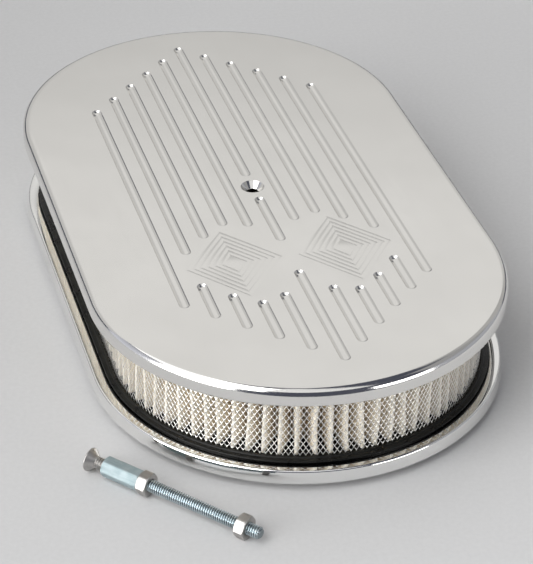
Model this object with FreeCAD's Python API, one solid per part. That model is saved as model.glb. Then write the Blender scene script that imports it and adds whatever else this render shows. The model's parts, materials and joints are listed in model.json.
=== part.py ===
import FreeCAD, Part
import math
import os

Vec = FreeCAD.Vector
up = Vec(0, 0, 1)

# Oval plan, shared by the lid, the base and the filter element.
# The plan is two half circles joined by straight sides. An inset is a distance in from its edge.
length = 381.0
width = 215.9

# Flat rim round both castings, and the gaps of the element in its seats
rim_width = 9.5
side_gap = 0.3
seat_gap = 0.1

# Filter element
element_height = 50.8
element_width = 21.7
seal_floor = 4.2
seal_lip_rise = 1.9
seal_lip_overhang = 2.6
seal_lip_edge = 0.9
seal_inner_rise = 2.0
screen_inset = 11.6
screen_thickness = 0.8
screen_strand = 1.9
outer_screen_columns = 36
outer_screen_rows = 3
inner_screen_columns = 28
inner_screen_rows = 2
pleat_depth = 15.6
pleat_count = 120
pleat_fold = 3.2
pleat_gap = 0.25

# Base, which stands on the pad round its throat
base_height = 11.6
channel_depth = 5.95
base_floor = 2.9
base_bottom_round = 4.2
base_top_round = 0.8
rib_width = 2.0
rib_height = 2.5
throat_radius = 65.1
collar_wall = 4.0
collar_rise = 2.8
collar_round = 1.2
gasket_land = 3.5
gasket_width = 4.8
pad_border = 3.1
gasket_thickness = 2.6
gasket_gap = 0.1

# Lid
lid_thickness = 9.5
lid_plate = 3.55
lid_top_round = 4.2
lid_bottom_round = 0.8
boss_radius = 9.0
screw_hole_radius = 3.4
countersink_radius = 6.4
countersink_angle = 82.0

# Round-bottomed grooves in the lid, milled with a ball cutter in columns along its length
ball_radius = 3.175
groove_depth = 1.5
groove_pitch = 12.7
outer_column = 5
field_reach = 168.4
screw_land = 11.3
panel_centre = -71.3
panel_half_heights = (14.4, 32.3, 36.4, 26.9, 14.0)

# Screw, coupling nut, stud and nuts that clamp the lid down, taken off and lying beside the base.
# A station is a distance along their common axis from the face of the screw's head.
# The head lies at a distance out from the rim of the near round end, on a bearing from its centre.
thread_radius = 3.175
thread_gap = 0.05
head_radius = 6.1
head_edge = 0.5
screw_length = 19.0
socket_across_flats = 4.0
socket_depth = 2.2
coupling_station = 9.6
coupling_length = 21.4
coupling_across_flats = 9.5
nut_across_flats = 11.1
nut_thickness = 5.6
lower_nut_station = 87.8
stud_length = 80.0
stud_end_past_nut = 6.9
thread_lead_in = 0.7
nut_chamfer_angle = 30.0
stud_set_distance = 27.8
stud_set_bearing = 206.3
stud_set_heading = -49.4

# How far a cutting solid reaches past the face it cuts, and how flat a level edge has to be
past = 1.0
level_tolerance = 1e-4

# Plan, heights and insets that follow from the sizes above, with heights from the foot of the base's pad
half_straight = (length - width) / 2
half_width = width / 2
channel_floor = base_height - channel_depth
plate_bottom = channel_floor - base_floor
element_bottom = channel_floor + seat_gap
element_top = element_bottom + element_height
lid_pocket = element_top + seat_gap
lid_top = lid_pocket + lid_plate
lid_underside = lid_top - lid_thickness
element_inset = rim_width + side_gap
element_inner_inset = element_inset + element_width
rib_inset = element_inner_inset + side_gap
cut_half_width = math.sqrt(ball_radius ** 2 - (ball_radius - groove_depth) ** 2)
pack_bottom = element_bottom + seal_floor
pack_top = element_top - seal_floor
pleat_inset = screen_inset + screen_thickness + pleat_gap
inner_screen_inset = pleat_inset + pleat_depth + pleat_gap
gasket_inner_radius = throat_radius + gasket_land
gasket_outer_radius = gasket_inner_radius + gasket_width


def oval_slab(inset, bottom, top):
    """A slab with the oval plan, drawn in from the edge by an inset."""
    radius = half_width - inset
    right_low = Vec(radius, -half_straight, bottom)
    right_high = Vec(radius, half_straight, bottom)
    left_high = Vec(-radius, half_straight, bottom)
    left_low = Vec(-radius, -half_straight, bottom)
    far_end = Part.Arc(right_high, Vec(0, half_straight + radius, bottom), left_high)
    near_end = Part.Arc(left_low, Vec(0, -half_straight - radius, bottom), right_low)
    sides = [
        Part.LineSegment(right_low, right_high),
        far_end,
        Part.LineSegment(left_high, left_low),
        near_end,
    ]
    outline = Part.Wire([side.toShape() for side in sides])
    return Part.Face(outline).extrude(up * (top - bottom))


def oval_wall(inset, thickness, bottom, top):
    """An upright wall that follows the oval plan all the way round."""
    return oval_slab(inset, bottom, top).cut(oval_slab(inset + thickness, bottom - past, top + past))


def oval_ring(section):
    """A ring round the oval plan, from a section of (inset, height) corners."""
    corners = [Vec(half_width - inset, half_straight, height) for inset, height in section]
    face = Part.Face(Part.makePolygon(corners + corners[:1]))
    far_end = face.revolve(Vec(0, half_straight, 0), up, 180)
    right_side = face.extrude(Vec(0, -2 * half_straight, 0))
    near_end = far_end.copy()
    near_end.rotate(Vec(0, 0, 0), up, 180)
    left_side = right_side.copy()
    left_side.rotate(Vec(0, 0, 0), up, 180)
    return far_end.fuse([right_side, near_end, left_side]).removeSplitter()


def oval_place(inset, share):
    """Point on the oval at a share of its way round, and the outward direction there."""
    radius = half_width - inset
    side = 2 * half_straight
    bend = math.pi * radius
    distance = (share % 1.0) * 2 * (side + bend)
    turned = 0.0
    if distance >= side + bend:
        distance -= side + bend
        turned = math.pi
    if distance < side:
        angle = 0.0
        point = Vec(radius, distance - half_straight, 0)
    else:
        angle = (distance - side) / radius
        point = Vec(radius * math.cos(angle), half_straight + radius * math.sin(angle), 0)
    if turned:
        point = Vec(-point.x, -point.y, 0)
    direction = Vec(math.cos(angle + turned), math.sin(angle + turned), 0)
    return point, direction


def level_edges(shape, height):
    """Edges of a shape that lie flat at one height."""
    found = []
    for edge in shape.Edges:
        box = edge.BoundBox
        if max(abs(box.ZMin - height), abs(box.ZMax - height)) < level_tolerance:
            found.append(edge)
    return found


def round_slab(bottom, top, bottom_round, top_round):
    """The full oval slab with its two outer edges rounded."""
    slab = oval_slab(0, bottom, top)
    slab = slab.makeFillet(top_round, level_edges(slab, top))
    return slab.makeFillet(bottom_round, level_edges(slab, bottom))


def cylinder(radius, bottom, top):
    """An upright round bar on the throat's axis."""
    return Part.makeCylinder(radius, top - bottom, Vec(0, 0, bottom))


def make_base():
    """Cast base with a seat for the element, a throat collar and a pad round the throat below."""
    base = round_slab(plate_bottom, base_height, base_bottom_round, base_top_round)
    base = base.cut(oval_slab(rim_width, channel_floor, base_height + past))
    rib = oval_wall(rib_inset, rib_width, channel_floor - past, channel_floor + rib_height)
    pad = cylinder(gasket_outer_radius + pad_border, 0, channel_floor)
    collar_top = channel_floor + collar_rise
    collar = cylinder(throat_radius + collar_wall, 0, collar_top)
    collar = collar.makeFillet(collar_round, level_edges(collar, collar_top))
    base = base.fuse([rib, collar, pad])
    throat = cylinder(throat_radius, -past, base_height + past)
    seat = cylinder(gasket_outer_radius + gasket_gap, -past, gasket_thickness + gasket_gap)
    land = cylinder(gasket_inner_radius - gasket_gap, -2 * past, gasket_thickness + past)
    seat = seat.cut(land)
    return base.cut([throat, seat]).removeSplitter()


def make_neck_gasket():
    """Flat ring in the underside of the pad, which seals on the carburetor's shoulder."""
    ring = cylinder(gasket_outer_radius, 0, gasket_thickness)
    return ring.cut(cylinder(gasket_inner_radius, -past, gasket_thickness + past))


def groove_spans(column):
    """Lowest and highest Y of each groove in a column, counted from the middle column.

    The grooves stop short of the plain panel and of the screw hole. Where less is left
    than the round mark of the cutter itself, there is no groove.
    """
    place = abs(column)
    reach = field_reach - groove_pitch * place
    if place == outer_column:
        spans = [(-reach, reach)]
    else:
        panel_low = panel_centre - panel_half_heights[place]
        panel_high = panel_centre + panel_half_heights[place]
        spans = [(-reach, panel_low), (panel_high, reach)]
    if place == 0:
        spans = [spans[0], (panel_high, -screw_land), (screw_land, reach)]
    return [(low, high) for low, high in spans if high - low > 2 * cut_half_width]


def groove_cutter(column, low, high):
    """The path swept by the ball cutter: a round bar with round ends."""
    height = lid_top + ball_radius - groove_depth
    centre = column * groove_pitch
    low_centre = low + cut_half_width
    high_centre = high - cut_half_width
    corner = ball_radius * math.sqrt(0.5)
    low_tip = Vec(centre, low_centre - ball_radius, height)
    low_side = Vec(centre + ball_radius, low_centre, height)
    high_side = Vec(centre + ball_radius, high_centre, height)
    high_tip = Vec(centre, high_centre + ball_radius, height)
    low_round = Part.Arc(low_tip, Vec(centre + corner, low_centre - corner, height), low_side)
    high_round = Part.Arc(high_side, Vec(centre + corner, high_centre + corner, height), high_tip)
    outline = [
        low_round,
        Part.LineSegment(low_side, high_side),
        high_round,
        Part.LineSegment(high_tip, low_tip),
    ]
    face = Part.Face(Part.Wire([edge.toShape() for edge in outline]))
    return face.revolve(Vec(centre, 0, height), Vec(0, 1, 0), 360)


def make_lid():
    """Cast lid with a grooved top, a seat for the element below and a countersunk screw hole."""
    lid = round_slab(lid_underside, lid_top, lid_bottom_round, lid_top_round)
    lid = lid.cut(oval_slab(rim_width, lid_underside - past, lid_pocket))
    rib = oval_wall(rib_inset, rib_width, lid_pocket - rib_height, lid_pocket + past)
    boss = cylinder(boss_radius, lid_underside, lid_pocket + past)
    lid = lid.fuse([rib, boss])
    grooves = []
    for column in range(-outer_column, outer_column + 1):
        for low, high in groove_spans(column):
            grooves.append(groove_cutter(column, low, high))
    cone_slope = math.tan(math.radians(countersink_angle / 2))
    cone_depth = (countersink_radius - screw_hole_radius) / cone_slope
    hole = cylinder(screw_hole_radius, lid_underside - past, lid_top + past)
    cone = Part.makeCone(
        screw_hole_radius, countersink_radius, cone_depth, Vec(0, 0, lid_top - cone_depth)
    )
    return lid.cut(grooves + [hole, cone]).removeSplitter()


def make_seal(flipped):
    """Moulded end seal with a lip over the rim and a trough that holds the pleats and screens."""
    trough_outer = screen_inset - pleat_gap
    trough_inner = inner_screen_inset + screen_thickness + pleat_gap
    lip_foot = base_height + side_gap
    lip_top = base_height + seal_lip_rise
    lip_inset = element_inset - seal_lip_overhang
    section = [
        (element_inset, element_bottom),
        (element_inner_inset, element_bottom),
        (element_inner_inset, pack_bottom + seal_inner_rise),
        (trough_inner, pack_bottom + seal_inner_rise),
        (trough_inner, pack_bottom),
        (trough_outer, pack_bottom),
        (trough_outer, lip_top),
        (trough_outer - seal_lip_edge, lip_top),
        (lip_inset, lip_foot + seal_lip_edge),
        (lip_inset, lip_foot),
        (element_inset, lip_foot),
    ]
    if flipped:
        section = [(inset, element_bottom + element_top - height) for inset, height in section]
    return oval_ring(section)


def make_screen(inset, columns, rows):
    """Expanded metal screen: an oval wall with staggered rows of diamond openings."""
    wall = oval_wall(inset, screen_thickness, pack_bottom, pack_top)
    middle = inset + screen_thickness / 2
    circuit = 4 * half_straight + 2 * math.pi * (half_width - middle)
    cell_width = circuit / columns
    cell_height = 2 * (pack_top - pack_bottom) / (rows + 1)
    slant = math.hypot(cell_width, cell_height)
    half_wide = cell_width / 2 - screen_strand * slant / cell_height / 2
    half_high = cell_height / 2 - screen_strand * slant / cell_width / 2
    openings = []
    for row in range(rows):
        height = pack_bottom + cell_height * (row + 1) / 2
        for column in range(columns):
            point, outward = oval_place(middle, (column + row / 2) / columns)
            along = Vec(-outward.y, outward.x, 0)
            centre = point + up * height - outward * screen_thickness
            corners = [
                centre + along * half_wide,
                centre + up * half_high,
                centre - along * half_wide,
                centre - up * half_high,
            ]
            diamond = Part.Face(Part.makePolygon(corners + corners[:1]))
            openings.append(diamond.extrude(outward * (2 * screen_thickness)))
    return wall.cut(openings)


def pleat_outline(outer_inset, inner_inset):
    """Closed zigzag round the oval between two insets, at the level of the pack's bottom."""
    middle = pleat_inset + pleat_depth / 2
    corners = []
    for fold in range(2 * pleat_count):
        point, outward = oval_place(middle, fold / (2 * pleat_count))
        inset = outer_inset if fold % 2 == 0 else inner_inset
        corners.append(point + outward * (middle - inset) + up * pack_bottom)
    return Part.makePolygon(corners + corners[:1])


def make_media():
    """Pleated filter paper, folded in and out all the way round the oval."""
    inner_edge = pleat_inset + pleat_depth
    outside = Part.Face(pleat_outline(pleat_inset, inner_edge - pleat_fold))
    inside = Part.Face(pleat_outline(pleat_inset + pleat_fold, inner_edge))
    rise = up * (pack_top - pack_bottom)
    return outside.extrude(rise).cut(inside.extrude(rise))


def along_axis(radius, start, end):
    """A round bar along the stud's axis, between two stations."""
    return Part.makeCylinder(radius, end - start, Vec(start, 0, 0), Vec(1, 0, 0))


def hex_bar(across_flats, start, end):
    """A six-sided bar along the stud's axis, with one flat facing down."""
    corner_radius = across_flats / math.sqrt(3)
    corners = []
    for corner in range(6):
        angle = math.radians(60 * corner)
        corners.append(Vec(start, corner_radius * math.cos(angle), corner_radius * math.sin(angle)))
    return Part.Face(Part.makePolygon(corners + corners[:1])).extrude(Vec(end - start, 0, 0))


def make_nut(across_flats, start, end):
    """Hexagon nut with its corners turned off at both ends and a plain bore for the thread."""
    corner_radius = across_flats / math.sqrt(3)
    flat_radius = across_flats / 2
    turned = corner_radius - flat_radius
    slope = turned * math.tan(math.radians(nut_chamfer_angle))
    envelope = [
        Vec(start, 0, 0),
        Vec(start, flat_radius, 0),
        Vec(start + slope, corner_radius, 0),
        Vec(end - slope, corner_radius, 0),
        Vec(end, flat_radius, 0),
        Vec(end, 0, 0),
    ]
    blank = Part.Face(Part.makePolygon(envelope + envelope[:1]))
    blank = blank.revolve(Vec(0, 0, 0), Vec(1, 0, 0), 360)
    nut = hex_bar(across_flats, start, end).common(blank)
    return nut.cut(along_axis(thread_radius + thread_gap, start - past, end + past))


def make_cover_screw():
    """Flat-head screw with a six-sided socket."""
    slope = math.tan(math.radians(countersink_angle / 2))
    cone_height = (head_radius - thread_radius) / slope
    profile = [
        Vec(0, 0, 0),
        Vec(0, head_radius, 0),
        Vec(head_edge, head_radius, 0),
        Vec(head_edge + cone_height, thread_radius, 0),
        Vec(screw_length - thread_lead_in, thread_radius, 0),
        Vec(screw_length, thread_radius - thread_lead_in, 0),
        Vec(screw_length, 0, 0),
    ]
    screw = Part.Face(Part.makePolygon(profile + profile[:1]))
    screw = screw.revolve(Vec(0, 0, 0), Vec(1, 0, 0), 360)
    return screw.cut(hex_bar(socket_across_flats, -past, socket_depth))


def make_stud():
    """Threaded stud, chamfered at both ends."""
    end = lower_nut_station + nut_thickness + stud_end_past_nut
    start = end - stud_length
    profile = [
        Vec(start, 0, 0),
        Vec(start, thread_radius - thread_lead_in, 0),
        Vec(start + thread_lead_in, thread_radius, 0),
        Vec(end - thread_lead_in, thread_radius, 0),
        Vec(end, thread_radius - thread_lead_in, 0),
        Vec(end, 0, 0),
    ]
    stud = Part.Face(Part.makePolygon(profile + profile[:1]))
    return stud.revolve(Vec(0, 0, 0), Vec(1, 0, 0), 360)


def lay_down(shape):
    """Lay a piece of the stud set on the floor, resting on the screw's head and the lower nut."""
    far_edge = lower_nut_station + nut_thickness
    tilt = math.degrees(math.atan2(head_radius - nut_across_flats / 2, far_edge))
    shape.rotate(Vec(0, 0, 0), Vec(0, 1, 0), tilt)
    shape.rotate(Vec(0, 0, 0), up, stud_set_heading)
    bearing = math.radians(stud_set_bearing)
    distance = half_width + stud_set_distance
    head_x = distance * math.cos(bearing)
    head_y = distance * math.sin(bearing) - half_straight
    shape.translate(Vec(head_x, head_y, head_radius * math.cos(math.radians(tilt))))
    return shape


def make_stud_set():
    """The five pieces of the stud set, each laid in its place."""
    coupling_end = coupling_station + coupling_length
    lower_nut_end = lower_nut_station + nut_thickness
    pieces = {
        "cover_screw": make_cover_screw(),
        "coupling_nut": make_nut(coupling_across_flats, coupling_station, coupling_end),
        "jam_nut": make_nut(nut_across_flats, coupling_end, coupling_end + nut_thickness),
        "stud": make_stud(),
        "lower_nut": make_nut(nut_across_flats, lower_nut_station, lower_nut_end),
    }
    return {name: lay_down(piece) for name, piece in pieces.items()}


def make_parts():
    """Every sub-part of the air cleaner by its node name."""
    parts = {
        "base": make_base(),
        "neck_gasket": make_neck_gasket(),
        "bottom_seal": make_seal(False),
        "pleated_media": make_media(),
        "outer_screen": make_screen(screen_inset, outer_screen_columns, outer_screen_rows),
        "inner_screen": make_screen(
            inner_screen_inset, inner_screen_columns, inner_screen_rows
        ),
        "top_seal": make_seal(True),
        "lid": make_lid(),
    }
    parts.update(make_stud_set())
    return parts


os.makedirs("parts", exist_ok=True)
for name, shape in make_parts().items():
    print(name, "valid", shape.isValid(), "solids", len(shape.Solids), "volume", round(shape.Volume))
    shape.exportStep("parts/" + name + ".step")
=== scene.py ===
import json
import math

import bmesh
import bpy
import numpy as np
from mathutils import Matrix, Vector
from mathutils.geometry import delaunay_2d_cdt


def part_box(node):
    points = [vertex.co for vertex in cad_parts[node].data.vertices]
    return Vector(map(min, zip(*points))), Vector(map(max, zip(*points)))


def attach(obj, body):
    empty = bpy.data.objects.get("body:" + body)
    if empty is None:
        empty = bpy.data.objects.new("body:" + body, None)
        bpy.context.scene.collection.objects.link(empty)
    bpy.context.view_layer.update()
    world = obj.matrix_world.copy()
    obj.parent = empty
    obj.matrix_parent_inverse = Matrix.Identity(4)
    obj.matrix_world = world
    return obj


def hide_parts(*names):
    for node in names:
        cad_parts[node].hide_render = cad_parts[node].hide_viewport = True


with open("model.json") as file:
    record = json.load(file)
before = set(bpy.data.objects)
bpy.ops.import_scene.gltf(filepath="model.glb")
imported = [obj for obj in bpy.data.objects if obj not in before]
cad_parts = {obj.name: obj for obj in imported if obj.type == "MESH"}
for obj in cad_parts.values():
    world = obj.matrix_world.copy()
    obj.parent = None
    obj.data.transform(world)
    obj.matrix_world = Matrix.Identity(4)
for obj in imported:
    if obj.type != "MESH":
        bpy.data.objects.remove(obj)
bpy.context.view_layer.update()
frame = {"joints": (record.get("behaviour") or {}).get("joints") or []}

# Oval plan and heights in metres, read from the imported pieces
mm = 0.001
tau = 2 * math.pi


def boxOf(node):
    low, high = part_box(node)
    return np.array(low), np.array(high)


lidLow, lidHigh = boxOf("lid")
rimTop = boxOf("base")[1][2]
sealLow = boxOf("bottom_seal")[0][2]
topSealHigh = boxOf("top_seal")[1][2]
innerScreenReach = boxOf("inner_screen")[1][0]
outerScreenReach = boxOf("outer_screen")[1][0]
halfWidth = lidHigh[0]
halfStraight = lidHigh[1] - halfWidth
lidTop = lidHigh[2]
lidUnder = lidLow[2]
elementMiddle = (sealLow + topSealHigh) / 2


# Paths. Each one is a spine and an outward direction, so a profile point (offset, height)
# is carried to spine + offset * direction.

def ovalPath(arcSteps, sideSteps):
    # right side, far half circle, then both again turned half way round
    angle = np.linspace(0, math.pi, arcSteps, endpoint=False)
    along = np.linspace(-halfStraight, halfStraight, sideSteps, endpoint=False)
    spineX = np.zeros(sideSteps + arcSteps)
    spineY = np.concatenate([along, np.full(arcSteps, halfStraight)])
    outX = np.concatenate([np.ones(sideSteps), np.cos(angle)])
    outY = np.concatenate([np.zeros(sideSteps), np.sin(angle)])
    spine = np.stack([spineX, spineY], axis=1)
    out = np.stack([outX, outY], axis=1)
    return np.concatenate([spine, -spine]), np.concatenate([out, -out])


def circlePath(steps, x=0.0, y=0.0):
    # direction = (cos a, sin a) about one fixed point
    angle = np.linspace(0, tau, steps, endpoint=False)
    out = np.stack([np.cos(angle), np.sin(angle)], axis=1)
    return np.broadcast_to([x, y], out.shape), out


def capsulePath(x, low, high, steps):
    # half circle round the high point, then half circle round the low one
    angle = np.linspace(0, math.pi, steps)
    out = np.stack([np.cos(angle), np.sin(angle)], axis=1)
    spine = np.concatenate([np.full((steps, 2), [x, high]), np.full((steps, 2), [x, low])])
    return spine, np.concatenate([out, -out])


def ovalPlaces(inset, distance):
    # point and outward direction at distances round the oval, measured on the line at that inset
    radius = halfWidth - inset
    side, bend = 2 * halfStraight, math.pi * radius
    travelled = np.mod(distance, 2 * (side + bend))
    second = travelled >= side + bend
    travelled = np.where(second, travelled - side - bend, travelled)
    angle = np.clip((travelled - side) / radius, 0, math.pi)
    spineY = np.clip(travelled - halfStraight, -halfStraight, halfStraight)
    turn = np.where(second, -1.0, 1.0)
    out = np.stack([np.cos(angle) * turn, np.sin(angle) * turn], axis=-1)
    spine = np.stack([np.zeros_like(spineY), spineY * turn], axis=-1)
    return spine, out


def ovalCircuit(inset):
    return 4 * halfStraight + tau * (halfWidth - inset)


# Profiles and surfaces

def rounded(corners, radii, steps=6, closed=False):
    # each corner is cut back by r / tan(half its angle), and an arc of radius r bridges the gap
    corners = np.array(corners, dtype=float)
    count = len(corners)
    line = []
    for index in range(count):
        corner, radius = corners[index], radii[index]
        if radius == 0 or (not closed and index in (0, count - 1)):
            line.append(corner[None])
            continue
        before = corners[index - 1] - corner
        after = corners[(index + 1) % count] - corner
        before /= np.linalg.norm(before)
        after /= np.linalg.norm(after)
        half = math.acos(np.clip(before @ after, -1, 1)) / 2
        middle = (before + after) / np.linalg.norm(before + after)
        centre = corner + middle * radius / math.sin(half)
        start = corner + before * radius / math.tan(half) - centre
        end = corner + after * radius / math.tan(half) - centre
        sweep = math.atan2(start[0] * end[1] - start[1] * end[0], start @ end)
        turn = np.linspace(0, sweep, steps)
        arc = np.stack([
            start[0] * np.cos(turn) - start[1] * np.sin(turn),
            start[0] * np.sin(turn) + start[1] * np.cos(turn),
        ], axis=1)
        line.append(centre + arc)
    return np.concatenate(line)


def insetProfile(corners, radii, steps=6, closed=False):
    # a profile given as (inset, height), turned to (offset, height)
    line = rounded(corners, radii, steps, closed)
    line[:, 0] = halfWidth - line[:, 0]
    return line


def carry(profile, path):
    # P(i, j) = spine(j) + offset(i) * direction(j), at height(i)
    spine, out = path
    flat = spine[None] + profile[:, 0, None, None] * out[None]
    height = np.broadcast_to(profile[:, 1, None, None], flat.shape[:2] + (1,))
    return np.concatenate([flat, height], axis=2)


def gridFaces(rows, columns, closedRows=False, closedColumns=True):
    # the four neighbours of each cell of the grid
    i = np.arange(rows if closedRows else rows - 1)[:, None]
    j = np.arange(columns if closedColumns else columns - 1)[None]
    nextI, nextJ = (i + 1) % rows, (j + 1) % columns
    cells = [i * columns + j, i * columns + nextJ, nextI * columns + nextJ, nextI * columns + j]
    return np.stack([np.broadcast_to(c, (i.size, j.size)) for c in cells], axis=2).reshape(-1, 4)


def surface(points, closedRows=False, closedColumns=True):
    rows, columns = points.shape[:2]
    return points.reshape(-1, 3), [gridFaces(rows, columns, closedRows, closedColumns)]


def flatFill(loops, height):
    # the plane between nested loops, in triangles that follow them; a triangle stays where a line
    # from its middle along x crosses the loops an odd number of times
    sizes = np.array([len(loop) for loop in loops])
    starts = np.repeat(np.cumsum(sizes) - sizes, sizes)
    place = np.arange(sizes.sum()) - starts
    edges = np.stack([starts + place, starts + (place + 1) % np.repeat(sizes, sizes)], axis=1)
    flat = np.concatenate([loop[:, :2] for loop in loops])
    found = delaunay_2d_cdt(flat.tolist(), edges.tolist(), [], 1, 1e-8)
    points, triangles = np.array(found[0]), np.array(found[2])
    middle = points[triangles].mean(axis=1)
    x, y = middle[:, :1], middle[:, 1:]
    start, end = flat[edges[:, 0]], flat[edges[:, 1]]
    climb = np.where(start[:, 1] == end[:, 1], 1, end[:, 1] - start[:, 1])
    reached = start[:, 0] + (y - start[:, 1]) / climb * (end[:, 0] - start[:, 0])
    crossed = ((start[:, 1] > y) != (end[:, 1] > y)) & (reached > x)
    points = np.concatenate([points, np.full((len(points), 1), height)], axis=1)
    return points, [triangles[crossed.sum(axis=1) % 2 == 1]]


def joined(surfaces):
    # several surfaces as one list of points and faces
    start, points, faces = 0, [], []
    for somePoints, someFaces in surfaces:
        points.append(somePoints)
        faces += [group + start for group in someFaces]
        start += len(somePoints)
    return np.concatenate(points), faces


def meshFrom(name, points, faces):
    # the faces come in groups, each an array of triangles or of quads
    mesh = bpy.data.meshes.new(name)
    corners = np.concatenate([group.ravel() for group in faces]).astype(np.int32)
    sizes = np.concatenate([np.full(len(group), group.shape[1]) for group in faces])
    mesh.vertices.add(len(points))
    mesh.vertices.foreach_set("co", np.ascontiguousarray(points, dtype=np.float32).ravel())
    mesh.loops.add(len(corners))
    mesh.loops.foreach_set("vertex_index", corners)
    mesh.polygons.add(len(sizes))
    mesh.polygons.foreach_set("loop_start", (np.cumsum(sizes) - sizes).astype(np.int32))
    mesh.update(calc_edges=True)
    mesh.validate()
    return mesh


def shadeByArea(mesh):
    # a point's normal is the sum of its faces' normals, each weighted by the face's area
    mesh.polygons.foreach_set("use_smooth", np.ones(len(mesh.polygons), dtype=bool))
    area = np.empty(len(mesh.polygons), dtype=np.float32)
    normal = np.empty(len(mesh.polygons) * 3, dtype=np.float32)
    total = np.empty(len(mesh.polygons), dtype=np.int32)
    corner = np.empty(len(mesh.loops), dtype=np.int32)
    mesh.polygons.foreach_get("area", area)
    mesh.polygons.foreach_get("normal", normal)
    mesh.polygons.foreach_get("loop_total", total)
    mesh.loops.foreach_get("vertex_index", corner)
    weighted = np.repeat(normal.reshape(-1, 3) * area[:, None], total, axis=0)
    sums = np.zeros((len(mesh.vertices), 3))
    np.add.at(sums, corner, weighted)
    length = np.linalg.norm(sums, axis=1, keepdims=True)
    mesh.normals_split_custom_set_from_vertices(sums / np.maximum(length, 1e-20))


def addPiece(name, shape, material, body, nodes, weld=1e-7, tidy=True):
    # one object at the origin, with its place in its mesh
    mesh = meshFrom(name, *shape)
    if tidy:
        work = bmesh.new()
        work.from_mesh(mesh)
        bmesh.ops.remove_doubles(work, verts=work.verts, dist=weld)
        bmesh.ops.dissolve_degenerate(work, edges=work.edges, dist=weld)
        bmesh.ops.recalc_face_normals(work, faces=work.faces)
        work.to_mesh(mesh)
        work.free()
    shadeByArea(mesh)
    piece = bpy.data.objects.new(name, mesh)
    bpy.context.scene.collection.objects.link(piece)
    mesh.materials.append(material)
    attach(piece, body)
    if nodes:
        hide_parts(*nodes)
    print("made", name, len(mesh.vertices), "points", len(mesh.polygons), "faces")
    return piece


def pointsOf(piece):
    points = np.empty(len(piece.data.vertices) * 3)
    piece.data.vertices.foreach_get("co", points)
    return points.reshape(-1, 3)


# Materials

def blankMaterial(name):
    material = bpy.data.materials.new(name)
    material.use_nodes = True
    tree = material.node_tree
    shader = tree.nodes["Principled BSDF"]
    place = tree.nodes.new("ShaderNodeTexCoord")
    return material, tree, shader, place.outputs["Object"]


def noiseOf(tree, place, scale, detail=3.0, roughness=0.5, stretch=None, turn=0.0):
    # cloudy variation; the place is turned about z, then divided by the stretch along each axis,
    # which draws the clouds out
    if stretch is not None:
        mapping = tree.nodes.new("ShaderNodeMapping")
        mapping.vector_type = "TEXTURE"
        mapping.inputs["Rotation"].default_value = (0, 0, turn)
        mapping.inputs["Scale"].default_value = stretch
        tree.links.new(place, mapping.inputs["Vector"])
        place = mapping.outputs["Vector"]
    noise = tree.nodes.new("ShaderNodeTexNoise")
    noise.inputs["Scale"].default_value = scale
    noise.inputs["Detail"].default_value = detail
    noise.inputs["Roughness"].default_value = roughness
    tree.links.new(place, noise.inputs["Vector"])
    return noise.outputs["Fac"]


def rangeOf(tree, value, low, high, fromLow=0.3, fromHigh=0.7):
    spread = tree.nodes.new("ShaderNodeMapRange")
    spread.inputs["From Min"].default_value = fromLow
    spread.inputs["From Max"].default_value = fromHigh
    spread.inputs["To Min"].default_value = low
    spread.inputs["To Max"].default_value = high
    tree.links.new(value, spread.inputs["Value"])
    return spread.outputs["Result"]


def blendOf(tree, value, colours, stops=(0.3, 0.7)):
    ramp = tree.nodes.new("ShaderNodeValToRGB")
    for element, stop, colour in zip(ramp.color_ramp.elements, stops, colours):
        element.position = stop
        element.color = (*colour, 1)
    tree.links.new(value, ramp.inputs["Fac"])
    return ramp.outputs["Color"]


def bumpOf(tree, shader, value, distance, strength=1.0):
    bump = tree.nodes.new("ShaderNodeBump")
    bump.inputs["Distance"].default_value = distance
    bump.inputs["Strength"].default_value = strength
    tree.links.new(value, bump.inputs["Height"])
    tree.links.new(bump.outputs["Normal"], shader.inputs["Normal"])


def metalMaterial(name, dark, light, roughLow, roughHigh, cloud, grain, grainDepth,
                  stretch=None, turn=0.0):
    # polished metal: faint clouds in its colour, finer ones in its roughness, and fine marks
    material, tree, shader, place = blankMaterial(name)
    shader.inputs["Metallic"].default_value = 1.0
    clouds = noiseOf(tree, place, cloud, 4.0)
    tree.links.new(blendOf(tree, clouds, (dark, light)), shader.inputs["Base Color"])
    smears = noiseOf(tree, place, cloud * 6, 5.0, 0.6, stretch, turn)
    tree.links.new(rangeOf(tree, smears, roughLow, roughHigh), shader.inputs["Roughness"])
    marks = noiseOf(tree, place, grain, 2.0, 0.5, stretch, turn)
    bumpOf(tree, shader, marks, grainDepth)
    return material


jamNutRun = next(joint for joint in frame["joints"] if joint["name"] == "jam_nut_run")
studAxis = Vector(jamNutRun["axis"]).normalized()
studTurn = math.atan2(studAxis.y, studAxis.x)
lidMetal = metalMaterial(
    "lidMetal", (0.80, 0.79, 0.77), (0.84, 0.83, 0.81), 0.10, 0.16, 25, 2500, 0.0000015, (1, 5, 1)
)
baseMetal = metalMaterial(
    "baseMetal", (0.84, 0.84, 0.83), (0.90, 0.90, 0.89), 0.035, 0.07, 25, 2500, 0.0000008
)
stainlessMetal = metalMaterial(
    "stainlessMetal", (0.39, 0.38, 0.37), (0.50, 0.485, 0.47), 0.32, 0.46, 160, 2200, 0.00001
)
blueZincMetal = metalMaterial(
    "blueZincMetal", (0.34, 0.42, 0.44), (0.45, 0.52, 0.54), 0.60, 0.80, 200, 1500, 0.00006,
    (12, 1, 1), studTurn
)
studMetal = metalMaterial(
    "studMetal", (0.50, 0.58, 0.61), (0.64, 0.71, 0.74), 0.16, 0.28, 220, 3000, 0.000003
)
screenMetal = metalMaterial(
    "screenMetal", (0.78, 0.77, 0.74), (0.90, 0.89, 0.86), 0.25, 0.40, 160, 3500, 0.000004
)


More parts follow.
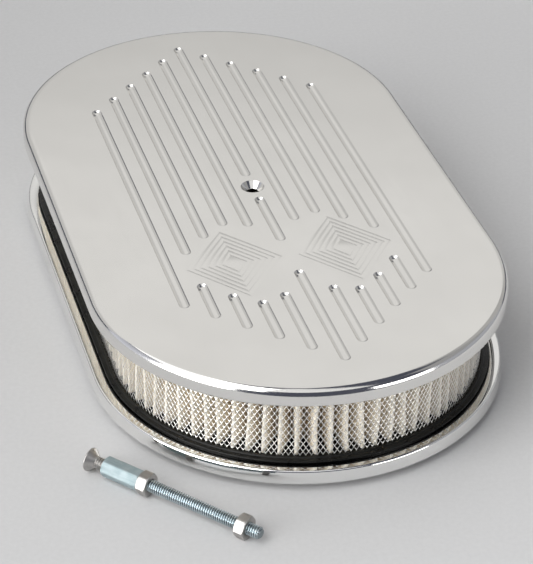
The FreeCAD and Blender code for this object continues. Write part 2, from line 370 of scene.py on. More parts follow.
def rubberMaterial(name, dark, light, roughLow, roughHigh):
    # moulded black urethane: nearly even black with a mottled sheen and a pebbled skin
    material, tree, shader, place = blankMaterial(name)
    clouds = noiseOf(tree, place, 90, 4.0)
    tree.links.new(blendOf(tree, clouds, (dark, light)), shader.inputs["Base Color"])
    tree.links.new(rangeOf(tree, clouds, roughLow, roughHigh), shader.inputs["Roughness"])
    shader.inputs["Specular IOR Level"].default_value = 0.2
    bumpOf(tree, shader, noiseOf(tree, place, 1400, 3.0), 0.00003)
    return material


sealRubber = rubberMaterial("sealRubber", (0.005, 0.005, 0.005), (0.011, 0.011, 0.010), 0.22, 0.38)
gasketRubber = rubberMaterial(
    "gasketRubber", (0.018, 0.017, 0.016), (0.035, 0.034, 0.032), 0.6, 0.8
)


def paperMaterial():
    # cream filter paper: cotton-like mottling, fine fibres, a little sheen
    material, tree, shader, place = blankMaterial("filterPaper")
    clouds = noiseOf(tree, place, 120, 5.0, 0.6)
    tone = blendOf(tree, clouds, ((0.94, 0.87, 0.73), (0.98, 0.94, 0.85)))
    tree.links.new(tone, shader.inputs["Base Color"])
    tree.links.new(rangeOf(tree, clouds, 0.8, 0.95), shader.inputs["Roughness"])
    shader.inputs["Specular IOR Level"].default_value = 0.2
    shader.inputs["Sheen Weight"].default_value = 0.15
    fibres = noiseOf(tree, place, 2200, 4.0, 0.7, (1, 1, 2.9))
    bumpOf(tree, shader, fibres, 0.00006)
    return material


def paintRecessShade(piece, material, openness, paintedShadeColour):
    # an attribute holds how open each point lies, and the material's colour is multiplied by a
    #  blend from the painted shade colour at 0 to white at 1, which paints shade into the recesses
    store = piece.data.attributes.new("openness", "FLOAT", "POINT")
    store.data.foreach_set("value", np.clip(openness, 0, 1).astype(np.float32))
    tree = material.node_tree
    shader = tree.nodes["Principled BSDF"]
    read = tree.nodes.new("ShaderNodeAttribute")
    read.attribute_name = "openness"
    shade = tree.nodes.new("ShaderNodeMix")
    shade.data_type = "RGBA"
    shade.blend_type = "MULTIPLY"
    shade.inputs["Factor"].default_value = 1.0
    colour = shader.inputs["Base Color"].links[0].from_socket
    tree.links.new(colour, shade.inputs[6])
    tint = blendOf(tree, read.outputs["Fac"], (paintedShadeColour, (1, 1, 1)), (0.1, 0.9))
    tree.links.new(tint, shade.inputs[7])
    tree.links.new(shade.outputs[2], shader.inputs["Base Color"])


filterPaper = paperMaterial()
print("materials ready")


# Lid: grooved top, rounded rim, hollow underside with a rib and a boss

lidSizes = {
    "topRound": 4.2 * mm,
    "lowerRound": 0.8 * mm,
    "rimWidth": 9.5 * mm,
    "plate": 3.55 * mm,
    "ribInset": 31.8 * mm,
    "ribWidth": 2.0 * mm,
    "ribHeight": 2.5 * mm,
    "innerRound": 0.7 * mm,
    "flatInset": 5.0 * mm,
    "ceilingInset": 36.0 * mm,
    "bossRadius": 9.0 * mm,
    "holeRadius": 3.4 * mm,
    "sinkRadius": 6.4 * mm,
    "sinkSlope": math.tan(math.radians(41)),
    "margin": 2.0 * mm,
    "sinkMargin": 0.8 * mm,
}
grooveSizes = {
    "ballRadius": 3.175 * mm,
    "depth": 1.5 * mm,
    "lip": 0.30 * mm,
    "pitch": 12.7 * mm,
    "outerColumn": 5,
    "reach": 168.4 * mm,
    "screwLand": 11.3 * mm,
    "panelCentre": -71.3 * mm,
    "panelHalfHeights": (14.4 * mm, 32.3 * mm, 36.4 * mm, 26.9 * mm, 14.0 * mm),
}
ornamentSizes = {
    "centreX": 29.5 * mm,
    "halfWidth": 25.0 * mm,
    "halfHeight": 31.0 * mm,
    "lines": 6,
    "pitch": 2.9 * mm,
    "lineHalfWidth": 0.36 * mm,
    "lineDepth": 0.40 * mm,
}


def grooveProfile():
    # a convex lip arc that leaves the flat tangentially and meets the ball's arc tangentially
    ball, lip = grooveSizes["ballRadius"], grooveSizes["lip"]
    rise = ball - grooveSizes["depth"]
    lipOffset = math.sqrt((ball + lip) ** 2 - (rise + lip) ** 2)
    meet = math.atan2(lipOffset, rise + lip)
    lipTurn = np.linspace(0, meet, 5)
    lipArc = np.stack([lipOffset - lip * np.sin(lipTurn), -lip + lip * np.cos(lipTurn)], axis=1)
    ballTurn = np.linspace(meet, 0, 12)[1:]
    ballArc = np.stack([ball * np.sin(ballTurn), rise - ball * np.cos(ballTurn)], axis=1)
    profile = np.concatenate([lipArc, ballArc])
    profile[:, 1] += lidTop
    return profile, lipOffset


def grooveSpans(column):
    # the grooves stop at the field's slanted ends, at the plain panel and at the screw hole
    place = abs(column)
    reach = grooveSizes["reach"] - grooveSizes["pitch"] * place
    if place == grooveSizes["outerColumn"]:
        return [(-reach, reach)]
    low = grooveSizes["panelCentre"] - grooveSizes["panelHalfHeights"][place]
    high = grooveSizes["panelCentre"] + grooveSizes["panelHalfHeights"][place]
    land = grooveSizes["screwLand"]
    if place == 0:
        return [(-reach, low), (high, -land), (land, reach)]
    return [(-reach, low), (high, reach)]


def grooveSurfaces():
    # the grooves, and the outline of each one in the lid's top
    profile, halfCut = grooveProfile()
    made, outlines = [], []
    last = grooveSizes["outerColumn"]
    for column in range(-last, last + 1):
        for low, high in grooveSpans(column):
            path = capsulePath(column * grooveSizes["pitch"], low + halfCut, high - halfCut, 20)
            points = carry(profile, path)
            made.append(surface(points))
            outlines.append(points[0])
    return made, outlines


def ornamentSurfaces():
    # nested lozenges cut as V lines: loop(k) = centre + k * corner, with k from each line's
    # distance; one band runs from the outermost line inwards, and its end loops bound the top
    wide, high = ornamentSizes["halfWidth"], ornamentSizes["halfHeight"]
    inner = wide * high / math.hypot(wide, high)
    corners = np.array([(wide, 0), (0, high), (-wide, 0), (0, -high)])
    edge = ornamentSizes["lineHalfWidth"]
    line = np.arange(ornamentSizes["lines"])[:, None] * ornamentSizes["pitch"]
    scale = 1 + (np.array([edge, 0, -edge]) - line).ravel() / inner
    drop = np.array([0, -ornamentSizes["lineDepth"], 0])
    heights = lidTop + np.tile(drop, ornamentSizes["lines"])[:, None, None]
    made, outlines = [], []
    for side in (-1, 1):
        centre = np.array([side * ornamentSizes["centreX"], grooveSizes["panelCentre"]])
        flat = centre + scale[:, None, None] * corners[None]
        height = np.broadcast_to(heights, flat.shape[:2] + (1,))
        points = np.concatenate([flat, height], axis=2)
        made.append(surface(points))
        outlines += [points[0], points[-1]]
    return made, outlines


def makeLid():
    s = lidSizes
    ceiling = lidTop - s["plate"]
    ribIn = s["ribInset"] + s["ribWidth"]
    ribLow = ceiling - s["ribHeight"]
    fine = s["innerRound"]
    rim = insetProfile(
        [(s["flatInset"], lidTop), (0, lidTop), (0, lidUnder), (s["rimWidth"], lidUnder),
         (s["rimWidth"], ceiling), (s["ribInset"], ceiling), (s["ribInset"], ribLow),
         (ribIn, ribLow), (ribIn, ceiling), (s["ceilingInset"], ceiling)],
        [0, s["topRound"], s["lowerRound"], fine, fine, fine, fine, fine, fine, 0], 9,
    )
    sinkDepth = (s["sinkRadius"] - s["holeRadius"]) / s["sinkSlope"]
    hole = rounded(
        [(s["sinkRadius"] + s["sinkMargin"], lidTop), (s["sinkRadius"], lidTop),
         (s["holeRadius"], lidTop - sinkDepth), (s["holeRadius"], lidUnder),
         (s["bossRadius"], lidUnder), (s["bossRadius"], ceiling),
         (s["bossRadius"] + s["margin"], ceiling)],
        [0, 0.25 * mm, 0.3 * mm, 0.4 * mm, 0.6 * mm, fine, 0],
    )
    rim, hole = carry(rim, ovalPath(120, 12)), carry(hole, circlePath(72))
    grooves, grooveOutlines = grooveSurfaces()
    ornament, ornamentOutlines = ornamentSurfaces()
    top = flatFill([rim[0], hole[0]] + grooveOutlines + ornamentOutlines, lidTop)
    under = flatFill([rim[-1], hole[-1]], ceiling)
    surfaces = [surface(rim), surface(hole), top, under] + grooves + ornament
    return addPiece("lidCasting", joined(surfaces), lidMetal, "lid", ["lid"])


makeLid()


# Base: bright rim, element seat, rib, throat collar, and a pad below with the gasket's seat

baseSizes = {
    "topRound": 1.2 * mm,
    "lowerRound": 1.0 * mm,
    "roundShare": 0.98,
    "wallFoot": 5.2 * mm,
    "wallTurns": (math.radians(76), math.radians(83)),
    "rimWidth": 9.5 * mm,
    "seatDepth": 5.95 * mm,
    "floor": 2.9 * mm,
    "ribInset": 31.8 * mm,
    "ribWidth": 2.0 * mm,
    "ribHeight": 2.5 * mm,
    "innerRound": 0.7 * mm,
    "throatRadius": 65.1 * mm,
    "collarWall": 4.0 * mm,
    "collarRise": 2.8 * mm,
    "collarRound": 1.2 * mm,
    "seatLand": 3.4 * mm,
    "seatWidth": 5.0 * mm,
    "gasketSeatDepth": 2.7 * mm,
    "padBorder": 3.1 * mm,
    "crisp": 0.2 * mm,
    "margin": 2.0 * mm,
}


def makeBase():
    s = baseSizes
    floorTop = rimTop - s["seatDepth"]
    floorUnder = floorTop - s["floor"]
    fine = s["innerRound"]
    ribIn = s["ribInset"] + s["ribWidth"]
    ribTop = floorTop + s["ribHeight"]
    outside = insetProfile(
        [(ribIn + s["margin"] / 2, floorTop), (ribIn, floorTop), (ribIn, ribTop),
         (s["ribInset"], ribTop), (s["ribInset"], floorTop), (s["rimWidth"], floorTop),
         (s["rimWidth"], rimTop)],
        [0, fine, fine, fine, fine, fine, 0], 9,
    )
    # the outer wall's normal turns by t from straight up, P = corner + r (sin t, cos t): a small
    # round to the wall's first t, a wide one to its last, and a round to the underside
    firstTurn, lastTurn = s["wallTurns"]
    wallHeight = rimTop - s["topRound"] * (1 - math.cos(firstTurn)) - s["wallFoot"]
    crown = wallHeight / (math.cos(firstTurn) - math.cos(lastTurn))
    wideTurn = np.linspace(lastTurn, firstTurn, 12)
    wide = np.stack([halfWidth + crown * (np.sin(wideTurn) - math.sin(lastTurn)),
                     s["wallFoot"] + crown * (np.cos(wideTurn) - math.cos(lastTurn))], axis=1)
    smallTurn = np.linspace(firstTurn, 0, 12)[1:]
    small = wide[-1] + s["topRound"] * np.stack([np.sin(smallTurn) - math.sin(firstTurn),
                                                 np.cos(smallTurn) - math.cos(firstTurn)], axis=1)
    wall = np.concatenate([wide, small])[::-1]
    rimUnder = s["wallFoot"] - s["lowerRound"]
    stepIn = s["rimWidth"] + s["margin"] / 2
    crisp = s["crisp"]
    lower = insetProfile(
        [(0, s["wallFoot"]), (0, rimUnder), (s["rimWidth"], rimUnder), (stepIn, floorUnder),
         (stepIn + s["margin"], floorUnder)],
        [0, s["lowerRound"] * s["roundShare"], crisp, crisp, 0], 9,
    )
    outside = np.concatenate([outside, wall, lower[1:]])
    throat = s["throatRadius"]
    collar = throat + s["collarWall"]
    collarTop = floorTop + s["collarRise"]
    seatIn = throat + s["seatLand"]
    seatOut = seatIn + s["seatWidth"]
    padOut = seatOut + s["padBorder"]
    seatTop = s["gasketSeatDepth"]
    middle = rounded(
        [(collar + s["margin"], floorTop), (collar, floorTop), (collar, collarTop),
         (throat, collarTop), (throat, 0), (seatIn, 0), (seatIn, seatTop),
         (seatOut, seatTop), (seatOut, 0),
         (padOut, 0), (padOut, floorUnder), (padOut + s["margin"], floorUnder)],
        [0, fine, s["collarRound"], crisp, crisp, crisp, crisp, crisp, crisp, crisp, fine, 0],
    )
    outside, middle = carry(outside, ovalPath(120, 12)), carry(middle, circlePath(144))
    over = flatFill([outside[0], middle[0]], floorTop)
    under = flatFill([outside[-1], middle[-1]], floorUnder)
    surfaces = [surface(outside), surface(middle), over, under]
    return addPiece("basePan", joined(surfaces), baseMetal, "base", ["base"])


makeBase()


# Neck gasket: flat ring with softened corners, seated in the base's underside

gasketSizes = {"clearance": 0.1 * mm, "soft": 0.4 * mm}


def makeGasket():
    low, high = boxOf("neck_gasket")
    inner = baseSizes["throatRadius"] + baseSizes["seatLand"] + gasketSizes["clearance"]
    corners = [(inner, low[2]), (high[0], low[2]), (high[0], high[2]), (inner, high[2])]
    section = rounded(corners, [gasketSizes["soft"]] * 4, 5, True)
    ring = surface(carry(section, circlePath(144)), closedRows=True)
    return addPiece("neckGasket", ring, gasketRubber, "base", ["neck_gasket"])


makeGasket()


# Filter element

elementSizes = {
    "lipEdge": 0.9 * mm,
    "lipInset": 7.2 * mm,
    "seatInset": 9.8 * mm,
    "innerInset": 31.5 * mm,
    "lipTop": 1.9 * mm,
    "lipFoot": 0.3 * mm,
    "ridgeInset": 9.9 * mm,
    "grooveInset": 9.4 * mm,
    "grooveDepth": 0.55 * mm,
    "pottingRise": 0.9 * mm,
    "soft": 0.45 * mm,
    "fine": 0.2 * mm,
    "grooveFloor": 0.5 * mm,
    "screenClearance": 0.2 * mm,
}
screenSizes = {
    "cellWidth": 2.8 * mm,
    "cellHeight": 4.4 * mm,
    "strand": 0.36 * mm,
    "thickness": 0.28 * mm,
    "twist": 0.28 * mm,
    "bottom": 11.2 * mm,
}
pleatSizes = {
    "count": 120,
    "inset": 12.7 * mm,
    "depth": 15.3 * mm,
    "tipRadius": 0.85 * mm,
    "jitter": 0.7 * mm,
    "lean": 1.1 * mm,
    "wave": 0.30 * mm,
    "rows": 20,
    "thickness": 0.45 * mm,
    "bottom": 11.5 * mm,
    "unevenTips": 0.5 * mm,
    # deepening and the colour below paint shade into the inner folds
    "deepening": 1.7,
    "paintedShadeColour": (0.72, 0.63, 0.52),
    "seed": 7,
}


def sealSection(flipped):
    # lip over the rim, a step, then the level potting between the screens
    s = elementSizes
    foot = rimTop + s["lipFoot"]
    top = rimTop + s["lipTop"]
    potting = rimTop + s["pottingRise"]
    grooveLow = top - s["grooveDepth"]
    screenIn = halfWidth - outerScreenReach - s["screenClearance"]
    corners = [
        (s["seatInset"], sealLow), (s["innerInset"], sealLow), (s["innerInset"], potting),
        (screenIn, potting), (screenIn, top), (s["ridgeInset"], top),
        (s["grooveInset"], grooveLow), (s["grooveInset"] - s["grooveFloor"], grooveLow),
        (s["lipInset"], foot + s["lipEdge"]), (s["lipInset"], foot), (s["seatInset"], foot),
    ]
    soft, fine = s["soft"], s["fine"]
    radii = [soft, soft, soft, fine, soft, fine, fine, fine, soft, fine, fine]
    section = insetProfile(corners, radii, 6, True)
    if flipped:
        section[:, 1] = 2 * elementMiddle - section[:, 1]
    return section


def makeSeal(name, node, flipped):
    ring = surface(carry(sealSection(flipped), ovalPath(110, 12)), closedRows=True)
    return addPiece(name, ring, sealRubber, "element", [node])


makeSeal("lowerSeal", "bottom_seal", False)
makeSeal("upperSeal", "top_seal", True)


def makeScreen(name, node, reach):
    # a wall of diamond holes in two staggered sets: each hole has four front corners, and its
    # sides run back to the lattice's own crossings, so the strands are three-sided; a hole's top
    # corner stands further out than its bottom one, which tilts every strand's face upward
    s = screenSizes
    inset = halfWidth - reach
    circuit = ovalCircuit(inset)
    columns = int(round(circuit / s["cellWidth"]))
    wide = circuit / columns
    top = 2 * elementMiddle - s["bottom"]
    rows = int(round((top - s["bottom"]) / s["cellHeight"]))
    high = (top - s["bottom"]) / rows
    slant = math.hypot(wide, high)
    halfWide = wide / 2 - s["strand"] * slant / high / 2
    halfHigh = high / 2 - s["strand"] * slant / wide / 2
    # holes sit at half steps: even rows at whole columns, odd rows half a column on
    row = np.arange(2 * rows + 1)[:, None]
    column = np.arange(columns)[None]
    middle = (column + (row % 2) / 2) * wide
    level = s["bottom"] + row * high / 2 + 0 * column
    # front corners right, up, left, down, then the crossings right, up, left, down
    alongSteps = np.array([halfWide, 0, -halfWide, 0])
    upSteps = np.array([0, halfHigh, 0, -halfHigh])
    frontAlong = middle[..., None] + alongSteps
    frontUp = level[..., None] + upSteps
    frontBack = np.broadcast_to(np.array([0.5, 0, 0.5, 1]) * s["twist"], frontUp.shape)
    crossAlong = middle[..., None] + np.array([wide / 2, 0, -wide / 2, 0])
    crossUp = level[..., None] + np.array([0, high / 2, 0, -high / 2])
    crossBack = np.full(crossUp.shape, s["thickness"])
    along = np.concatenate([frontAlong, crossAlong], axis=2)
    lift = np.concatenate([frontUp, crossUp], axis=2)
    depth = np.concatenate([frontBack, crossBack], axis=2)
    lift = np.clip(lift, s["bottom"], top)
    spine, out = ovalPlaces(inset, along)
    flat = spine + (halfWidth - inset - depth)[..., None] * out
    points = np.concatenate([flat, lift[..., None]], axis=3)
    base = (row * columns + column) * 8
    holeSides = [np.stack([base + a, base + b, base + 4 + b, base + 4 + a], axis=2)
                 for a, b in ((0, 1), (1, 2), (2, 3), (3, 0))]
    # the hole up and right of hole (r, c), and the one up and left
    upRow = row[:-1]
    nextRight = (column + upRow % 2) % columns
    nextLeft = (column - 1 + upRow % 2) % columns
    here = base[:-1]
    right = ((upRow + 1) * columns + nextRight) * 8
    left = ((upRow + 1) * columns + nextLeft) * 8
    strandRight = np.stack([here + 0, right + 3, right + 2, here + 1], axis=2)
    strandLeft = np.stack([here + 1, left + 0, left + 3, here + 2], axis=2)
    above = base[2:]
    crossing = np.stack([here[:-1] + 1, right[:-1] + 2, above + 3, left[:-1] + 0], axis=2)
    faces = np.concatenate([part.reshape(-1, 4) for part in
                            holeSides + [strandRight, strandLeft, crossing]])
    points = points.reshape(-1, 3)
    shape = points, [faces]
    return addPiece(name, shape, screenMetal, "element", [node], weld=2e-6)


makeScreen("outerScreen", "outer_screen", outerScreenReach)
makeScreen("innerScreen", "inner_screen", innerScreenReach)


def makePleats():
    # a zigzag: fold f stands at (f + chance) * half a pitch, odd folds one depth further in; round
    # each fold the line turns on an arc, and every fold leans and waves by its own amount
    s = pleatSizes
    chance = np.random.default_rng(s["seed"])
    folds, rows = 2 * s["count"], s["rows"]
    middleInset = s["inset"] + s["depth"] / 2
    pitch = ovalCircuit(middleInset) / s["count"]
    slope = math.atan2(s["depth"], pitch / 2)
    turn = np.linspace(-slope, slope, 7)
    arcSide = s["tipRadius"] * np.sin(turn)
    arcDrop = s["tipRadius"] * (1 - np.cos(turn))
    inward = (np.arange(folds) % 2)[:, None, None]
    place = np.arange(folds)[:, None, None] * pitch / 2
    place = place + s["jitter"] * chance.uniform(-1, 1, (folds, 1, 1)) * np.where(inward, 0.5, 1)
    height = np.linspace(0, 1, rows)[None, :, None]
    lean = s["lean"] * chance.uniform(-1, 1, (folds, 1, 1)) * (height - 0.5) * 2
    bends = chance.uniform(2, 9, (folds, 1, 1))
    wave = s["wave"] * np.sin(height * bends + chance.uniform(0, tau, (folds, 1, 1)))
    along = place + lean + wave + arcSide
    sunk = s["unevenTips"] * chance.uniform(0, 1, (folds, 1, 1)) + arcDrop
    depth = s["inset"] + np.where(inward, s["depth"] - sunk, sunk) + 0 * height
    along = along.transpose(1, 0, 2).reshape(rows, -1)
    depth = np.broadcast_to(depth, (folds, rows, turn.size)).transpose(1, 0, 2).reshape(rows, -1)
    spine, out = ovalPlaces(middleInset, along)
    flat = spine + (halfWidth - depth)[..., None] * out
    top = 2 * elementMiddle - s["bottom"]
    level = s["bottom"] + (top - s["bottom"]) * np.linspace(0, 1, rows)[:, None, None]
    points = np.concatenate([flat, np.broadcast_to(level, flat.shape[:2] + (1,))], axis=2)
    piece = addPiece(
        "pleatedPaper", surface(points), filterPaper, "element", ["pleated_media"]
    )
    # openness = 1 - deepening * depth share, so it is 1 at the outer folds and 0 past half way in,
    # where the inner folds get painted shade
    points = pointsOf(piece)
    reach = np.hypot(points[:, 0], np.maximum(np.abs(points[:, 1]) - halfStraight, 0))
    sunk = (halfWidth - reach - s["inset"]) / s["depth"]
    paintRecessShade(piece, filterPaper, 1 - s["deepening"] * sunk, s["paintedShadeColour"])
    solid = piece.modifiers.new("paperThickness", "SOLIDIFY")
    solid.thickness = s["thickness"]
    solid.offset = -1
    return piece


makePleats()


# Stud set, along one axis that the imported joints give

studSide = Vector((-studAxis.y, studAxis.x, 0)).normalized()
studUp = studAxis.cross(studSide)
studSizes = {
    "majorRadius": 3.175 * mm,
    "minorRadius": 2.35 * mm,
    "threadPitch": 1.27 * mm,
    "rowsPerTurn": 8,
    "crestShare": 1.4,
    "flankSlope": 1.6,
    # painted shade colour in the thread roots
    "paintedRootShade": (0.40, 0.42, 0.43),
    "studLength": 80.0 * mm,
    "studColumns": 48,
    "endInset": 0.25 * mm,
    "headRadius": 6.1 * mm,
    "headEdge": 0.5 * mm,
    "screwLength": 19.0 * mm,
    "socketHalf": 2.0 * mm,
    "socketDepth": 2.2 * mm,
    "couplingStation": 9.6 * mm,
    "couplingLength": 21.4 * mm,
    "couplingHalf": 4.75 * mm,
    "nutHalf": 5.55 * mm,
    "nutLength": 5.6 * mm,
    "boreRadius": 3.2 * mm,
    "mouthShare": 1.12,
    "mouthDepth": 0.4 * mm,
    "faceShare": 0.97,
    "columns": 72,
}


def centreOf(node):
    low, high = boxOf(node)
    return Vector((low + high) / 2)


def alongStud(points, origin):
    # local x runs along the stud, y to its side and z up from it
    turned = np.array(Matrix((studAxis, studSide, studUp)))
    return points @ turned + np.array(origin)


def turnedSurface(station, radius):
    # P(i, j) = (station(i, j), radius(i, j) cos a(j), radius(i, j) sin a(j))
    columns = radius.shape[1]
    angle = np.linspace(0, tau, columns, endpoint=False)[None]
    station = np.broadcast_to(station, radius.shape)
    return np.stack([station, radius * np.cos(angle), radius * np.sin(angle)], axis=2)


def hexRadius(halfFlats, columns, cornerShare=0.985):
    # distance from the axis to a hexagon's side = half flats / cos(angle from the flat), with its
    # corners just broken; flats face up and down
    angle = np.linspace(0, tau, columns, endpoint=False)
    fromFlat = np.mod(angle, math.pi / 3) - math.pi / 6
    radius = halfFlats / np.cos(fromFlat)
    return np.minimum(radius, cornerShare * halfFlats / math.cos(math.pi / 6))


def threadRadius(station, columns):
    # a ridge that climbs one pitch a turn: share = clip(crest - slope |2 phase - 1|, 0, 1), so
    # crest and root are flats, joined by straight flanks
    s = studSizes
    angle = np.linspace(0, 1, columns, endpoint=False)[None]
    phase = np.mod(station / s["threadPitch"] - angle, 1)
    ridge = np.clip(s["crestShare"] - np.abs(2 * phase - 1) * s["flankSlope"], 0, 1)
    return s["minorRadius"] + (s["majorRadius"] - s["minorRadius"]) * ridge


def paintThreadRootShade(piece, origin, material):
    # painted shade darkens the roots: openness = (distance from the axis - minor radius) / (major
    # - minor radius)
    s = studSizes
    away = pointsOf(piece) - np.array(origin)
    axis = np.array(studAxis)
    away = away - (away @ axis)[:, None] * axis
    above = np.linalg.norm(away, axis=1) - s["minorRadius"]
    paintRecessShade(piece, material, above / (s["majorRadius"] - s["minorRadius"]), s["paintedRootShade"])


def makeStud():
    s = studSizes
    length = s["studLength"]
    rows = int(length / s["threadPitch"] * s["rowsPerTurn"])
    station = np.linspace(-length / 2, length / 2, rows)[:, None]
    radius = threadRadius(station, s["studColumns"])
    fromEnd = length / 2 - np.abs(station)
    radius = np.minimum(radius, s["minorRadius"] - s["endInset"] + fromEnd)
    station = np.concatenate([station[:1], station, station[-1:]])
    radius = np.concatenate([radius[:1] * 0, radius, radius[-1:] * 0])
    points = alongStud(turnedSurface(station, radius), centreOf("stud"))
    piece = addPiece("threadedStud", surface(points), studMetal, "base", ["stud"])
    paintThreadRootShade(piece, centreOf("stud"), studMetal)
    return piece


def makeNut(name, node, body, material, halfFlats, length):
    # out over the near face, chamfer and flats, then the far chamfer and face, and back down the
    # bore; a chamfer's station = (radius - its smallest) * tan 30
    s = studSizes
    columns = s["columns"]
    flats = hexRadius(halfFlats, columns)
    corner = flats.max()
    end = length / 2
    slope = math.tan(math.radians(30))
    limit = np.linspace(halfFlats * s["faceShare"], corner, 6)
    chamferStation = -end + (limit - limit[0]) * slope
    outer = np.minimum(flats[None], limit[:, None])
    bore = np.full(columns, s["boreRadius"])
    nearRadius = np.concatenate([bore[None] * s["mouthShare"], outer])
    nearStation = np.concatenate([[-end], chamferStation])
    inside = s["mouthDepth"]
    radius = np.concatenate([nearRadius, nearRadius[::-1], bore[None], bore[None]])
    station = np.concatenate([nearStation, -nearStation[::-1], [end - inside, -end + inside]])
    points = alongStud(turnedSurface(station[:, None], radius), centreOf(node))
    return addPiece(name, surface(points, closedRows=True), material, body, [node])


def makeScrew():
    s = studSizes
    columns = s["columns"]
    ones = np.ones(columns)
    socket = hexRadius(s["socketHalf"], columns)
    neck = (s["headRadius"] - s["majorRadius"]) / lidSizes["sinkSlope"] + s["headEdge"]
    station = [s["socketDepth"] + 0.5 * mm, s["socketDepth"], 0.15 * mm, 0.0, 0.0, 0.0, 0.12 * mm,
               s["headEdge"], s["headEdge"] + 0.15 * mm,
               neck - 0.5 * mm, neck - 0.1 * mm, neck + 0.3 * mm]
    radius = [0 * ones, socket, socket, socket + 0.15 * mm, ones * 3.2 * mm,
              ones * (s["headRadius"] - 0.25 * mm), ones * (s["headRadius"] - 0.05 * mm),
              ones * s["headRadius"], ones * (s["headRadius"] - 0.15 * mm),
              ones * (s["majorRadius"] + 0.5 * mm), ones * (s["majorRadius"] + 0.05 * mm),
              ones * s["majorRadius"]]
    start = neck + 0.6 * mm
    rows = int((s["screwLength"] - start) / s["threadPitch"] * s["rowsPerTurn"])
    threadStation = np.linspace(start, s["screwLength"], rows)[:, None]
    thread = threadRadius(threadStation, columns)
    thread = np.minimum(thread, s["minorRadius"] + s["screwLength"] - threadStation)
    radius = np.concatenate([np.array(radius), thread, 0 * ones[None]])
    station = np.concatenate([np.array(station)[:, None], threadStation, [[s["screwLength"]]]])
    head = centreOf("coupling_nut") - studAxis * (s["couplingStation"] + s["couplingLength"] / 2)
    points = alongStud(turnedSurface(station, radius), head)
    return addPiece(
        "coverScrew", surface(points), stainlessMetal, "cover_screw", ["cover_screw"]
    )


makeStud()
makeNut("couplingNut", "coupling_nut", "base", blueZincMetal,
        studSizes["couplingHalf"], studSizes["couplingLength"])
makeNut("jamNut", "jam_nut", "jam_nut", stainlessMetal,
        studSizes["nutHalf"], studSizes["nutLength"])
makeNut("lowerNut", "lower_nut", "lower_nut", stainlessMetal,
        studSizes["nutHalf"], studSizes["nutLength"])
makeScrew()
print("stud set ready")


# Stage: floor and light patches

stageSizes = {
    "floorLow": (-0.85, -0.36),
    "floorHigh": (1.3, 2.4),
    "floorLevel": -0.0001,
    "floorDark": (0.43, 0.43, 0.433),
    "floorLight": (0.745, 0.745, 0.75),
    # painted light falloff across the floor
    "paintedFloorFalloff": (0.27, -0.16, 0),
    "floorReach": 0.2,
    "worldColour": (0.075, 0.08, 0.105),
    "patchRadius": 3.0,
}


def stagePiece(name, shape, material):
    mesh = meshFrom(name, *shape)
    piece = bpy.data.objects.new(name, mesh)
    bpy.context.scene.collection.objects.link(piece)
    mesh.materials.append(material)
    return piece


def makeFloor():
    lowX, lowY = stageSizes["floorLow"]
    highX, highY = stageSizes["floorHigh"]
    flat = [(lowX, lowY), (highX, lowY), (highX, highY), (lowX, highY)]
    corners = np.array([(x, y, stageSizes["floorLevel"]) for x, y in flat])
    material, tree, shader, place = blankMaterial("floorPaper")
    # shade = slope . place + wide clouds + fine grain, from dark to light over the reach; the
    # slope is painted light falloff, lighter to the near right and darker to the far left
    slope = tree.nodes.new("ShaderNodeVectorMath")
    slope.operation = "DOT_PRODUCT"
    slope.inputs[1].default_value = stageSizes["paintedFloorFalloff"]
    tree.links.new(place, slope.inputs[0])
    shade = slope.outputs["Value"]
    for scale, detail, depth in ((3, 2.0, 0.01), (420, 3.0, 0.016)):
        added = tree.nodes.new("ShaderNodeMath")
        added.operation = "ADD"
        tree.links.new(shade, added.inputs[0])
        cloud = rangeOf(tree, noiseOf(tree, place, scale, detail), -depth, depth)
        tree.links.new(cloud, added.inputs[1])
        shade = added.outputs["Value"]
    reach = stageSizes["floorReach"]
    share = rangeOf(tree, shade, 0, 1, -reach, reach)
    tone = blendOf(tree, share, (stageSizes["floorDark"], stageSizes["floorLight"]), (0, 1))
    tree.links.new(tone, shader.inputs["Base Color"])
    shader.inputs["Roughness"].default_value = 0.8
    shader.inputs["Specular IOR Level"].default_value = 0.1
    stagePiece("floorSheet", (corners, [np.array([[0, 1, 2, 3]])]), material)


def addPatch(name, azimuths, elevations, strengths, colour, rise=None):
    # part of a sphere round the object, P = R (cos e cos a, cos e sin a, sin e), that gives light;
    # its strength climbs between the two elevations of rise
    radius = stageSizes["patchRadius"]
    a = np.radians(np.linspace(*azimuths, 25))[None]
    e = np.radians(np.linspace(*elevations, 13))[:, None]
    places = [np.cos(e) * np.cos(a), np.cos(e) * np.sin(a), np.sin(e) + 0 * a]
    points = radius * np.stack(places, axis=2)
    material = bpy.data.materials.new(name)
    material.use_nodes = True
    tree = material.node_tree
    tree.nodes.clear()
    glow = tree.nodes.new("ShaderNodeEmission")
    glow.inputs["Color"].default_value = (*colour, 1)
    target = tree.nodes.new("ShaderNodeOutputMaterial")
    tree.links.new(glow.outputs["Emission"], target.inputs["Surface"])
    place = tree.nodes.new("ShaderNodeTexCoord")
    parts = tree.nodes.new("ShaderNodeSeparateXYZ")
    tree.links.new(place.outputs["Object"], parts.inputs["Vector"])
    low, high = [radius * math.sin(math.radians(angle)) for angle in (rise or elevations)]
    strength = rangeOf(tree, parts.outputs["Z"], *strengths, low, high)
    tree.links.new(strength, glow.inputs["Strength"])
    stagePiece(name, surface(points, closedColumns=False), material)


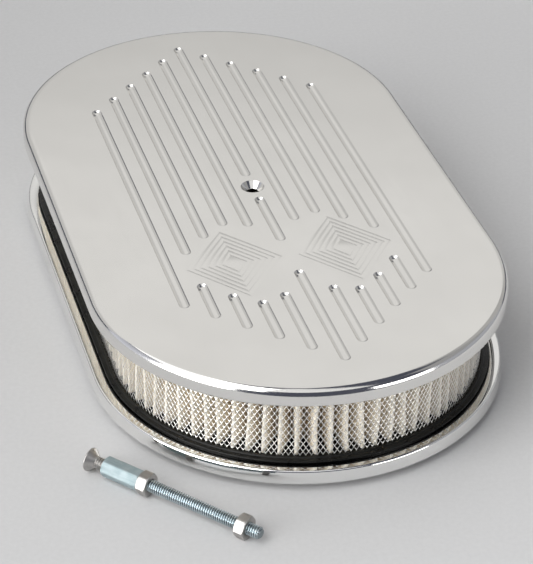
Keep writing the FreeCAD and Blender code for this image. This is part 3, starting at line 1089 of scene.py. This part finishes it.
makeFloor()
addPatch("rearCard", (40, 150), (9, 84), (0.60, 0.80), (1.0, 0.99, 0.97), (26, 32))
addPatch("rearEnd", (12, 40), (9, 60), (0.45, 0.45), (1.0, 0.99, 0.97))
addPatch("leftWall", (150, 182), (-6, 36), (0.75, 0.50), (0.94, 0.96, 1.06))
addPatch("leftHigh", (150, 182), (40, 74), (1.4, 1.4), (1.0, 1.0, 1.0))
addPatch("keyLow", (182, 224), (-6, 19), (7.6, 7.6), (1.0, 1.0, 0.99))
addPatch("keyHigh", (182, 238), (23, 74), (3.5, 3.5), (1.0, 1.0, 0.99))
addPatch("topCard", (238, 296), (38, 88), (0.90, 0.80), (1.0, 1.0, 1.0))
addPatch("frontBox", (292, 322), (-5, 20), (3.6, 3.6), (1.0, 1.0, 1.0))
addPatch("rightWall", (322, 380), (-5, 27), (0.42, 0.42), (0.95, 0.97, 1.05))
addPatch("rightBox", (325, 372), (28, 52), (0.35, 0.35), (1.0, 1.0, 1.0))
world = bpy.data.worlds.new("room")
bpy.context.scene.world = world
world.use_nodes = True
world.node_tree.nodes["Background"].inputs["Color"].default_value = (*stageSizes["worldColour"], 1)
world.node_tree.nodes["Background"].inputs["Strength"].default_value = 1.0


# Camera, solved from the grooves and the lid's outline in the 533 by 564 picture
cameraSizes = {
    "place": (-0.28241, -0.99918, 0.67683),
    "azimuth": math.radians(-16.2285),
    "elevation": math.radians(33.1473),
    "roll": math.radians(0.6158),
    "focalPixels": 2239.8,
    "frameHeight": 564,
    "sensor": 36.0,
}


def makeCamera():
    s = cameraSizes
    a, e, r = s["azimuth"], s["elevation"], s["roll"]
    back = Vector((math.sin(a) * math.cos(e), -math.cos(a) * math.cos(e), math.sin(e)))
    right = Vector((math.cos(a), math.sin(a), 0))
    up = back.cross(right)
    rolledRight = right * math.cos(r) + up * math.sin(r)
    rolledUp = up * math.cos(r) - right * math.sin(r)
    data = bpy.data.cameras.new("photoCamera")
    data.sensor_width = s["sensor"]
    data.lens = s["focalPixels"] * s["sensor"] / s["frameHeight"]
    data.clip_start, data.clip_end = 0.05, 50
    camera = bpy.data.objects.new("photoCamera", data)
    turn = Matrix((rolledRight, rolledUp, back)).transposed()
    camera.matrix_world = Matrix.Translation(s["place"]) @ turn.to_4x4()
    bpy.context.scene.collection.objects.link(camera)
    bpy.context.scene.camera = camera


makeCamera()
bpy.context.scene.view_settings.view_transform = "Standard"
